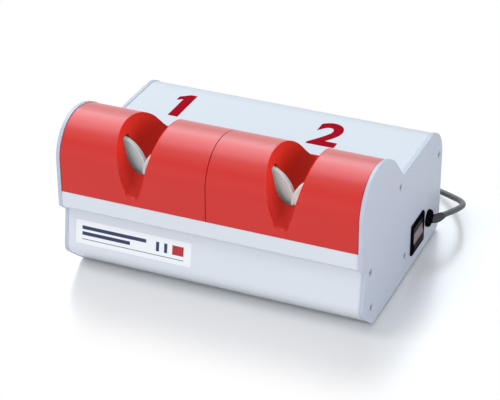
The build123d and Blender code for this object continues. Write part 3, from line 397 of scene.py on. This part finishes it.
def makeNotchMask(values):
    # half width of a notch = Half + Spread * (height above Shoulder), round x = +-Station
    tree, into, out = newGroup("notchMask", values, {"Mask": "Float", "Rise": "Float"})
    x, y, z = millimetres(tree)
    aside = calc(tree, "SUBTRACT", calc(tree, "ABSOLUTE", x), into["Station"])
    above = calc(tree, "MAXIMUM", calc(tree, "SUBTRACT", z, into["Shoulder"]), 0.0)
    half = calc(tree, "ADD", calc(tree, "MULTIPLY", above, into["Spread"]), into["Half"])
    within = calc(tree, "SUBTRACT", half, calc(tree, "ABSOLUTE", aside), clamp=True)
    behind = calc(tree, "SUBTRACT", y, into["Front"], clamp=True)
    tree.links.new(calc(tree, "MULTIPLY", within, behind), out["Mask"])
    # Rise runs from 0 at Floor to 1 at Floor + Climb and carries the painted shade up the notch
    # walls
    above = calc(tree, "SUBTRACT", z, into["Floor"])
    tree.links.new(calc(tree, "DIVIDE", above, into["Climb"], clamp=True), out["Rise"])
    return tree


def dullAndShadeNotches(material, values):
    # the notch walls are matt and carry painted shade, dark red low down turning to a painted
    # highlight of bright red higher up; red light thrown back by a hood is kept pale
    tree = material.node_tree
    shader = tree.nodes["Principled BSDF"].inputs
    notch = addGroup(tree, makeNotchMask(notchShape), {})
    outside = calc(tree, "SUBTRACT", 1.0, notch["Mask"])
    specular = calc(tree, "MULTIPLY", outside, values["outerSpecular"])
    tree.links.new(specular, shader["Specular IOR Level"])
    tree.links.new(calc(tree, "MULTIPLY", outside, values["outerCoat"]), shader["Coat Weight"])
    ray = addNode(tree, "ShaderNodeLightPath").outputs
    # painted shade and light: the notch walls go from dark red at the bottom to bright red at the
    # top
    paintedNotchShade = blend(tree, notch["Rise"], values["shadedNotchRed"], values["litNotchRed"])
    colour = shader["Base Color"].links[0].from_socket
    colour = blend(tree, notch["Mask"], colour, paintedNotchShade)
    colour = blend(tree, ray["Is Diffuse Ray"], colour, values["bouncedRed"])
    tree.links.new(colour, shader["Base Color"])


hoodRed = finish("hoodPlastic", "paint", hoodPlastic, Coat_Roughness=0.34)
dullAndShadeNotches(hoodRed, hoodShine)
coat(hoodRed, "left_hood", "right_hood")


# ---- wheels ----

coarseGrit = {"Colour": (0.84, 0.94, 0.93, 1.0), "Grain": 0.16, "Pore Shade": 0.2, "Roughness": 0.85,
              "Grain Size": 0.00055, "Grain Depth": 0.00012}
fineGrit = {"Colour": (0.97, 0.97, 0.94, 1.0), "Grain": 0.09, "Pore Shade": 0.12, "Roughness": 0.8,
            "Grain Size": 0.0004, "Grain Depth": 0.00008}
coat(finish("coarseGrit", "grit", coarseGrit), "left_outer_wheel", "left_inner_wheel")
coat(finish("fineGrit", "grit", fineGrit), "right_outer_wheel", "right_inner_wheel")


# ---- metals ----

groundSteel = {"Colour": (0.60, 0.60, 0.61, 1.0), "Roughness": 0.24, "Streak Size": 0.00025}
plateSteel = {"Colour": (0.50, 0.51, 0.53, 1.0), "Roughness": 0.42, "Streak": 0.16, "Stain": 0.14}
zincSteel = {"Colour": (0.58, 0.60, 0.62, 1.0), "Roughness": 0.38, "Rough Spread": 0.22,
             "Streak": 0.06, "Stain": 0.3}
screwSteel = {"Colour": (0.34, 0.36, 0.40, 1.0), "Roughness": 0.34, "Stain": 0.3,
              "Painted Edge Highlight": 0.9}
castAlloy = {"Colour": (0.46, 0.47, 0.49, 1.0), "Roughness": 0.55, "Streak": 0.25,
             "Streak Size": 0.0009, "Streak Depth": 0.00006, "Painted Edge Highlight": 0.3}
coreSheets = {"Colour": (0.30, 0.30, 0.32, 1.0), "Roughness": 0.5, "Streak": 0.9,
              "Streak Size": 0.0006, "Streak Depth": 0.00006}
pinNickel = {"Colour": (0.66, 0.65, 0.62, 1.0), "Roughness": 0.2, "Streak": 0.06, "Stain": 0.12}
sides = ["left_outer", "left_inner", "right_inner", "right_outer"]
coat(finish("groundSteel", "turned", groundSteel, Metallic=1.0),
     "spindle_bearings", "gear_bearings", "motor_gear", "motor_bearings",
     *[side + "_spindle" for side in sides])
coat(finish("plateSteel", "rolled", plateSteel, Metallic=1.0),
     "front_bearing_plate", "rear_bearing_plate", "plate_pillars", "tie_rods")
coat(finish("zincSteel", "rolled", zincSteel, Metallic=1.0),
     "base_plate", "base_screws", "swarf_trays", "motor_bracket", "motor_bolts",
     "capacitor_strap", *[side + "_nut" for side in sides])
coat(finish("screwSteel", "cast", screwSteel, Metallic=1.0), "end_plate_screws")
coat(finish("castAlloy", "cast", castAlloy, Metallic=0.85),
     "motor_housing", "motor_front_cover", "motor_rear_cover")
coat(finish("coreSheets", "stacked", coreSheets, Metallic=0.9), "motor_stator", "motor_rotor")
coat(finish("pinNickel", "rolled", pinNickel, Metallic=1.0), "plug_pins")


# ---- plastics and rubber ----

gearNylon = {"Colour": (0.72, 0.69, 0.58, 1.0), "Mottle": 0.06, "Roughness": 0.42,
             "Grain Depth": 0.00001}
blackNylon = {"Colour": (0.005, 0.004, 0.005, 1.0), "Mottle": 0.3, "Roughness": 0.5,
              "Grain Size": 0.0005, "Grain Depth": 0.00002, "Painted Edge Highlight": 0.8}
rockerGloss = {"Colour": (0.010, 0.008, 0.009, 1.0), "Mottle": 0.15, "Roughness": 0.35,
               "Grain Depth": 0.000004, "Painted Edge Highlight": 0.5}
fanNylon = {"Colour": (0.03, 0.03, 0.033, 1.0), "Mottle": 0.2, "Roughness": 0.5}
creamBlock = {"Colour": (0.74, 0.72, 0.64, 1.0), "Mottle": 0.06, "Roughness": 0.4}
canPlastic = {"Colour": (0.62, 0.63, 0.63, 1.0), "Mottle": 0.05, "Roughness": 0.35}
feetRubber = {"Colour": (0.018, 0.018, 0.019, 1.0), "Mottle": 0.3, "Roughness": 0.72,
              "Grain Size": 0.0009, "Grain Depth": 0.00005}
leadSleeve = {"Colour": (0.16, 0.06, 0.03, 1.0), "Mottle": 0.12, "Roughness": 0.38,
              "Grain Depth": 0.000006}
cordSheath = {"Colour": (0.080, 0.080, 0.088, 1.0), "Mottle": 0.25, "Roughness": 0.5,
              "Grain Size": 0.0008, "Grain Depth": 0.00003}
plugRubber = {"Colour": (0.030, 0.030, 0.033, 1.0), "Mottle": 0.25, "Roughness": 0.46,
              "Grain Size": 0.0007, "Grain Depth": 0.00004, "Painted Edge Highlight": 0.5}
black = finish("blackNylon", "moulded", blackNylon, Specular_IOR_Level=0.0)
sheath = finish("cordSheath", "moulded", cordSheath)
coat(finish("gearNylon", "moulded", gearNylon), *[side + "_gear" for side in sides])
coat(black, "switch_bezel", "switch_box", "gland_nut")
coat(finish("fanNylon", "moulded", fanNylon), "motor_fan")
coat(finish("creamBlock", "moulded", creamBlock), "terminal_block")
coat(finish("canPlastic", "moulded", canPlastic), "motor_capacitor")
coat(finish("feetRubber", "moulded", feetRubber), "feet")
coat(finish("leadSleeve", "moulded", leadSleeve), "mains_leads")
coat(sheath, "power_cord", "cord_coil")
coat(finish("plugRubber", "moulded", plugRubber), "cord_plug")


# ---- printed and two-colour pieces, and a painted reflection on the rocker ----

# each block runs from and to along x, then y, then z, in mm, and has its colour after that;
# sharpness is how fast it fades in from its sides, per mm
navy = (0.015, 0.030, 0.095, 1.0)
labelPrint = {
    "sharpness": 8.0,
    "blocks": {
        "head bar": ((-158.0, -78.0, -140.0, -110.0, 62.8, 67.2), navy),
        "middle bar": ((-158.0, -98.0, -140.0, -110.0, 55.8, 60.2), navy),
        "low rule": ((-158.0, -32.0, -140.0, -110.0, 50.6, 51.6), (0.10, 0.11, 0.14, 1.0)),
        "tick one": ((-66.0, -62.0, -140.0, -110.0, 55.8, 67.2), navy),
        "tick two": ((-56.0, -52.0, -140.0, -110.0, 55.8, 67.2), navy),
        "red square": ((-46.0, -32.0, -140.0, -110.0, 55.8, 67.2), (0.46, 0.014, 0.022, 1.0)),
    },
}
rockerPrintAndReflection = {
    "sharpness": 0.6,
    "blocks": {
        # painted reflection: the mauve that the black rocker's lower facet shows from the floor is
        # painted into its colour, softly faded
        "painted floor reflection": ((150.0, 190.0, 30.0, 72.0, 31.5, 44.5), (0.27, 0.215, 0.23, 1.0)),
        "mark": ((150.0, 190.0, 48.5, 53.5, 37.2, 38.8), (0.75, 0.72, 0.72, 1.0)),
    },
}
glandPrint = {   # the tail is as grey as the sheath
    "sharpness": 1.0,
    "blocks": {"tail": ((187.0, 230.0, 60.0, 140.0, 20.0, 60.0), cordSheath["Colour"])},
}
plateFilm = {"Colour": (0.88, 0.895, 0.93, 1.0), "Mottle": 0.02, "Roughness": 0.3,
             "Rough Spread": 0.05, "Peel Size": 0.002, "Peel Depth": 0.000006,
             "Edge Radius": 0.0002, "Painted Edge Highlight": 0.0}
film = finish("plateFilm", "paint", plateFilm)
printAndPaintOn(film, labelPrint)
coat(film, "name_plate")
rocker = finish("rockerGloss", "moulded", rockerGloss, Specular_IOR_Level=0.02)
printAndPaintOn(rocker, rockerPrintAndReflection)
coat(rocker, "rocker_switch")
gland = finish("glandNylon", "moulded", blackNylon, Specular_IOR_Level=0.0)
printAndPaintOn(gland, glandPrint)
coat(gland, "cord_gland")
print("finishes made")


# ---- mains cord ----

cord = {   # millimetres and degrees
    "diameter": 7.0,
    "start": (194.12, 103.54, 36.0),                    # end of the gland's tail
    "exitWay": (0.4226, 0.9063, 0.0), "exitStep": 6.0,  # straight on from the tail for a step
    "route": [(203.5, 125.0, 34.0), (206.0, 150.0, 27.5), (197.0, 174.0, 18.0),
              (179.5, 195.0, 9.5), (154.0, 212.5, 4.6), (126.0, 223.0, 3.6), (98.0, 226.0, 3.6)],
    "coilCentre": (95.0, 189.0), "coilRadius": 37.0, "floor": 3.6,
    "turns": 7, "pointsPerTurn": 16, "climb": 0.11,     # climb: share of a turn to change seats
    "tieAngle": 300.0, "liftAtTie": 0.6, "tieSpread": 26.0,
    "plugTail": (70.5, 226.0, 18.5),                    # where the plug's sleeve begins
    "plugLead": (14.0, 0.6, -0.6),                      # last bend, from the plug's tail
}
cordSpline = {"order": 3, "steps": 8, "roundness": 5}


def coilSeats(values):
    # seven turns stacked two, three and two: (outward, upward) from the coil's circle, in mm
    rise = math.sqrt(3) / 2
    seats = [(0.5, 0), (-0.5, 0), (-1, rise), (0, rise), (1, rise), (0.5, 2 * rise),
             (-0.5, 2 * rise)]
    return np.array(seats) * values["diameter"]


def coilPoints(values):
    # radius and height follow the seat of each turn, and the next seat is taken in one climb,
    # which begins one climb earlier in every turn
    seats = coilSeats(values)
    per = values["pointsPerTurn"]
    step = np.arange(1, values["turns"] * per - 1)
    angle = 90.0 + 360.0 * step / per
    turn = step / per
    index = np.zeros(len(step))
    for k in range(1, len(seats)):
        start = k - values["climb"] * (k - 1)
        index += np.clip((turn - start) / values["climb"], 0.0, 1.0)
    out = np.interp(index, np.arange(len(seats)), seats[:, 0])
    up = np.interp(index, np.arange(len(seats)), seats[:, 1])
    # a spline of order 3 cuts inside its points by this share
    inside = 1.0 / (0.5 + 0.5 * math.cos(math.pi / per))
    radius = (values["coilRadius"] + out) * inside
    away = (angle - values["tieAngle"] + 180.0) % 360.0 - 180.0
    lift = values["liftAtTie"] * np.exp(-(away / values["tieSpread"]) ** 2)
    x = values["coilCentre"][0] + radius * np.cos(np.radians(angle))
    y = values["coilCentre"][1] + radius * np.sin(np.radians(angle))
    return np.stack([x, y, values["floor"] + up + lift], 1)


def cordCurve(values, build):
    start, tail = np.array(values["start"]), np.array(values["plugTail"])
    first = start + values["exitStep"] * np.array(values["exitWay"])
    lead = tail + np.array(values["plugLead"])
    points = np.vstack([start, first, values["route"], coilPoints(values), lead, tail]) * mm
    curve = bpy.data.curves.new("mainsCord", "CURVE")
    curve.dimensions = "3D"
    spline = curve.splines.new("NURBS")
    spline.points.add(len(points) - 1)
    spline.points.foreach_set("co", np.hstack([points, np.ones((len(points), 1))]).ravel())
    spline.order_u = build["order"]
    spline.use_endpoint_u = True
    spline.resolution_u = build["steps"]
    curve.bevel_depth = values["diameter"] / 2 * mm
    curve.bevel_resolution = build["roundness"]
    curve.use_fill_caps = True
    return newObject("mainsCord", curve), points


mainsCord, cordLine = cordCurve(cord, cordSpline)
coat(sheath, "mainsCord")
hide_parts("power_cord", "cord_coil")
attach(mainsCord, "casing")
cordLength = float(np.linalg.norm(np.diff(cordLine, axis=0), axis=1).sum())
print("cord polygon length", round(cordLength, 3))


# ---- tie round the coil ----

coilTie = {"width": 8.0, "gap": 0.12, "thickness": 0.45, "steps": 48, "floor": 0.1}


def makeTie(band, values):
    # taut loop: each point is the outermost seat that way, plus the cord's radius and the gap
    seats = coilSeats(values)
    angle = np.linspace(0.0, 2 * math.pi, band["steps"], endpoint=False)
    way = np.stack([np.cos(angle), np.sin(angle)], 1)
    outermost = seats[(way @ seats.T).argmax(1)]
    inner = outermost + way * (values["diameter"] / 2 + band["gap"])
    outer = inner + way * band["thickness"]
    half = band["width"] / 2
    turn = math.radians(values["tieAngle"])
    outward = np.array([math.cos(turn), math.sin(turn)])
    along = np.array([-math.sin(turn), math.cos(turn)])
    corners = []
    for loop, aside in ((outer, -half), (outer, half), (inner, half), (inner, -half)):
        radius = values["coilRadius"] + loop[:, 0]
        flat = np.array(values["coilCentre"]) + radius[:, None] * outward + aside * along
        height = values["floor"] + values["liftAtTie"] + loop[:, 1]
        corners.append(np.column_stack([flat, np.maximum(height, band["floor"])]))
    points = np.stack(corners, 1) * mm
    piece = newPiece("coilTie", points, gridFaces(band["steps"], len(corners)), smooth=False)
    coat(black, piece.name)
    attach(piece, "casing")


makeTie(coilTie, cord)


# ---- printed numerals ----

numerals = {   # millimetres; distances back are counted from the front face
    # outline of the 1: stem, top and flag, as (x, distance back)
    "1": [(-122.0, 163.0), (-109.4, 163.0), (-109.4, 220.0), (-117.5, 220.0), (-129.0, 211.5),
          (-129.0, 202.5), (-122.0, 206.5)],
    # middle of the 2 and its size
    "2": {"x": 69.0, "back": 189.0, "width": 34.0, "length": 57.0},
    "frontFace": -136.0, "panelTop": 142.0, "film": 0.08,
    "weight": 0.035,   # how far the letter's outline grows, as a share of the type size
}
numeralInk = {"Colour": (0.48, 0.008, 0.024, 1.0), "Mottle": 0.06, "Roughness": 0.6,
              "Peel Size": 0.001, "Peel Depth": 0.00001, "Edge Radius": 0.0001, "Painted Edge Highlight": 0.0}
inkRed = finish("numeralInk", "paint", numeralInk, Specular_IOR_Level=0.0)


def outlineNumeral(text, values):
    # prism on the outline, as thick as the film
    flat = np.array(values[text]) + np.array([0.0, values["frontFace"]])
    count = len(flat)
    heights = (values["panelTop"], values["panelTop"] + values["film"])
    rings = [np.column_stack([flat, np.full(count, z)]) for z in heights]
    low = np.arange(count)
    after = (low + 1) % count
    walls = np.stack([low, after, after + count, low + count], 1)
    caps = [low[::-1], low + count]
    return newPiece("numeral" + text, np.vstack(rings) * mm, caps + list(walls), smooth=False)


def typeNumeral(text, values):
    # a letter of the plain typeface, brought to the size and place given
    data = bpy.data.curves.new("numeral" + text, "FONT")
    data.body = text
    data.size = 1.0
    data.offset = values["weight"]
    data.extrude = 0.5
    letter = newObject("letter", data)
    bpy.context.view_layer.update()
    solved = letter.evaluated_get(bpy.context.evaluated_depsgraph_get())
    mesh = bpy.data.meshes.new_from_object(solved)
    bpy.data.objects.remove(letter)
    points = np.zeros(len(mesh.vertices) * 3)
    mesh.vertices.foreach_get("co", points)
    points = points.reshape(-1, 3)
    low, high = points.min(0), points.max(0)
    unit = (points - (low + high) / 2) / (high - low)   # -0.5..0.5 along each side
    spot, thick = values[text], values["film"]
    middle = values["panelTop"] + thick / 2
    place = np.array([spot["x"], spot["back"] + values["frontFace"], middle])
    size = np.array([spot["width"], spot["length"], thick])
    mesh.vertices.foreach_set("co", ((place + unit * size) * mm).ravel())
    mesh.update()
    return newObject("numeral" + text, mesh)


for piece in (outlineNumeral("1", numerals), typeNumeral("2", numerals)):
    coat(inkRed, piece.name)
    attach(piece, "casing")
print("cord and numerals made")


# ---- world, floor and lamps ----

white = (1.0, 1.0, 1.0, 1.0)
studio = {"ambient": (0.92, 0.96, 1.0, 1.0), "strength": 0.46}
table = {
    "radius": 12.0, "sides": 96,
    "shade": (0.95, 0.935, 0.92, 1.0), "bounceShade": (0.75, 0.76, 0.78, 1.0),
    "gloss": 0.12, "roughness": 0.28,
    # it fades to plain white between these distances from the casing's own rectangle
    "casingHalf": (0.175, 0.131, 0.0), "fadeFrom": 0.03, "fadeTo": 0.125,
}
lamps = {   # size is width and height; lights: on surfaces; glints: in reflections
    "overhead": {"place": (-0.75, 1.15, 1.75), "aim": (0.0, 0.0, 0.1), "size": (1.5, 1.1),
                 "watts": 9.0, "lights": True, "glints": False},
    "card": {"place": (-0.55, 0.95, 1.85), "aim": (0.0, 0.0, 0.1), "size": (3.0, 2.6),
             "watts": 98.0, "lights": False, "glints": True, "tint": (0.78, 0.90, 1.0)},
    "front": {"place": (-0.5, -2.2, 0.45), "aim": (0.0, 0.0, 0.08), "size": (1.8, 0.7),
              "watts": 7.5, "lights": True, "glints": False},
    "key": {"place": (-0.85, -1.0, 1.75), "aim": (0.0, 0.0, 0.1), "size": (1.0, 0.9),
            "watts": 12.5, "lights": True, "glints": False},
    "fill": {"place": (1.7, -1.0, 0.6), "aim": (0.0, 0.0, 0.1), "size": (1.2, 1.0),
             "watts": 13.0, "lights": True, "glints": False},
}


def makeWorld(values):
    # the camera and mirrors see plain white, and surfaces get the softer light
    world = bpy.data.worlds.new("world")
    bpy.context.scene.world = world
    world.use_nodes = True
    tree = world.node_tree
    tree.nodes.clear()
    soft = addNode(tree, "ShaderNodeBackground", {"Color": values["ambient"],
                                                  "Strength": values["strength"]})
    plain = addNode(tree, "ShaderNodeBackground", {"Color": white, "Strength": 1.0})
    seen = seenByEye(tree, addNode(tree, "ShaderNodeLightPath").outputs)
    mix = addNode(tree, "ShaderNodeMixShader", {0: seen, 1: soft.outputs[0], 2: plain.outputs[0]})
    addNode(tree, "ShaderNodeOutputWorld", {"Surface": mix.outputs[0]})


def makeFade(tree, values):
    # 0 near the casing and 1 away from it, by the distance from its rectangle on the table
    away = addNode(tree, "ShaderNodeTexCoord").outputs["Object"]
    for operation, amount in (("ABSOLUTE", (0.0, 0.0, 0.0)), ("SUBTRACT", values["casingHalf"]),
                              ("MAXIMUM", (0.0, 0.0, 0.0))):
        step = addNode(tree, "ShaderNodeVectorMath", {0: away, 1: amount}, operation=operation)
        away = step.outputs["Vector"]
    length = addNode(tree, "ShaderNodeVectorMath", {0: away}, operation="LENGTH")
    fade = addNode(tree, "ShaderNodeMapRange", {
        "Value": length.outputs["Value"],
        "From Min": values["fadeFrom"], "From Max": values["fadeTo"],
    }, interpolation_type="SMOOTHSTEP")
    return fade.outputs[0]


def makeFloor(values):
    # a round plane whose rim turns plain white, so no edge shows
    angle = np.linspace(0.0, 2 * math.pi, values["sides"], endpoint=False)
    ring = np.stack([np.cos(angle), np.sin(angle), np.zeros(len(angle))], 1) * values["radius"]
    floor = newPiece("floor", ring, [np.arange(len(angle))], smooth=False)
    material = bpy.data.materials.new("floorWhite")
    material.use_nodes = True
    tree = material.node_tree
    tree.nodes.clear()
    ray = addNode(tree, "ShaderNodeLightPath").outputs
    shade = blend(tree, ray["Is Diffuse Ray"], values["shade"], values["bounceShade"])
    matt = addNode(tree, "ShaderNodeBsdfDiffuse", {"Color": shade})
    gloss = addNode(tree, "ShaderNodeBsdfGlossy", {"Color": white,
                                                   "Roughness": values["roughness"]})
    surface = addNode(tree, "ShaderNodeMixShader", {0: values["gloss"], 1: matt.outputs[0],
                                                    2: gloss.outputs[0]})
    plain = addNode(tree, "ShaderNodeEmission", {"Color": white, "Strength": 1.0})
    share = calc(tree, "MULTIPLY", makeFade(tree, values), seenByEye(tree, ray))
    mix = addNode(tree, "ShaderNodeMixShader", {0: share, 1: surface.outputs[0],
                                                2: plain.outputs[0]})
    addNode(tree, "ShaderNodeOutputMaterial", {"Surface": mix.outputs[0]})
    floor.data.materials.append(material)


def makeLamp(name, values):
    data = bpy.data.lights.new(name, "AREA")
    data.shape = "RECTANGLE"
    data.size, data.size_y = values["size"]
    data.energy = values["watts"]
    data.color = values.get("tint", white[:3])
    lamp = newObject(name, data)
    lamp.location = values["place"]
    toward = Vector(values["aim"]) - Vector(values["place"])
    lamp.rotation_euler = toward.to_track_quat("-Z", "Y").to_euler()
    lamp.visible_camera = False
    lamp.visible_diffuse = values["lights"]
    lamp.visible_glossy = values["glints"]


makeWorld(studio)
makeFloor(table)
for name, values in lamps.items():
    makeLamp(name, values)
print("studio made")
